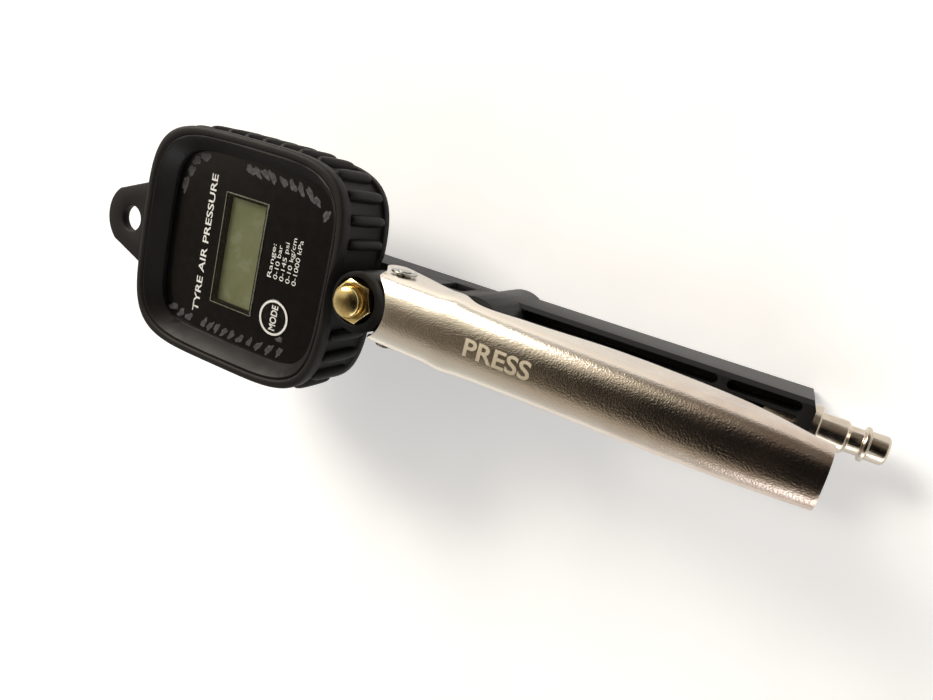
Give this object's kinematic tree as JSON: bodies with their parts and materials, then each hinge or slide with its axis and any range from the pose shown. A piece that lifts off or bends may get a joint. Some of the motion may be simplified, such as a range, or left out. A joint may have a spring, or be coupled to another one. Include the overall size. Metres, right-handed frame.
{
  "type": "digital tyre inflator",
  "caption": "Hand-held air-line tyre inflator with a squeeze lever, a brass bleed button and a square digital gauge in a ribbed rubber boot with a hang tab.",
  "frame": {"origin": "middle of the overall length and width, on the ground plane the handle's flat back lies on", "axes": "+X along the handle from the inlet plug to the gauge and hang tab, +Z the way the gauge's face and the lever look, +Y along the lever's pivot pin"},
  "size_m": [0.3046, 0.0918, 0.077],
  "materials": {
    "handle_plastic": "moulded black glass-filled plastic, fine texture",
    "nickel_plate": "bright nickel plate on turned steel",
    "lever_plate": "nickel plate over pressed steel, slightly orange-peeled",
    "brass": "turned brass, bright",
    "spring_steel": "bare spring steel",
    "zinc_steel": "zinc-plated steel",
    "seal_rubber": "nitrile rubber",
    "boot_rubber": "soft black rubber, satin",
    "case_plastic": "moulded black ABS, satin",
    "film": "black printed polyester film, glossy",
    "window": "clear acrylic",
    "lcd": "reflective grey-green LCD",
    "button_plastic": "black printed button film",
    "board_green": "solder-masked circuit board",
    "sensor_can": "steel sensor can",
    "cell_skin": "shrink-wrapped dry cells",
    "sintered_bronze": "sintered bronze",
    "tube_metal": "drawn aluminium tube"
  },
  "bodies": {
    "tool": {"handle_body": "handle_plastic", "inlet_bush": "nickel_plate", "inlet_plug": "nickel_plate", "inlet_filter": "sintered_bronze", "air_tube": "tube_metal", "valve_seat": "brass", "valve_cap": "brass", "valve_spring": "spring_steel", "bleed_nut": "brass", "bleed_spring": "spring_steel", "pivot_pin": "zinc_steel", "pivot_clip": "zinc_steel", "outlet_bush": "brass", "gauge_stem": "brass", "stem_washer": "seal_rubber", "front_case": "case_plastic", "back_case": "case_plastic", "battery_door": "case_plastic", "case_screws": "zinc_steel", "batteries": "cell_skin", "battery_contacts": "spring_steel", "circuit_board": "board_green", "pressure_sensor": "sensor_can", "lcd_module": "lcd", "mode_switch": "case_plastic", "face_film": "film", "window_lens": "window", "boot": "boot_rubber"},
    "lever": {"lever": "lever_plate"},
    "valve_stem": {"valve_stem": "brass", "valve_seal": "seal_rubber"},
    "bleed_button": {"bleed_button": "brass", "bleed_seal": "seal_rubber"},
    "mode_button": {"mode_button": "button_plastic"}
  },
  "joints": [
    {"name": "lever_pivot", "type": "hinge", "parent": "tool", "child": "lever", "pos_m": [0.01095, 0, 0.0555], "axis": [0, -1, 0], "range_deg": [0, 8], "stiffness_Nm_per_rad": 6, "springref_deg": -6.88},
    {"name": "valve_slide", "type": "slide", "parent": "tool", "child": "valve_stem", "axis": [0, 0, -1], "range_m": [0, 0.0037], "deforming": ["valve_spring"]},
    {"name": "bleed_press", "type": "slide", "parent": "tool", "child": "bleed_button", "axis": [0, 0, -1], "range_m": [0, 0.002], "stiffness_N_per_m": 800, "springref_m": -0.002, "deforming": ["bleed_spring"]},
    {"name": "mode_press", "type": "slide", "parent": "tool", "child": "mode_button", "axis": [0, 0, -1], "range_m": [0, 0.0005], "stiffness_N_per_m": 1500, "springref_m": -0.0003}
  ],
  "couplings": [
    {"joint": "valve_slide", "follows": "lever_pivot", "m_per_rad": 0.026}
  ]
}
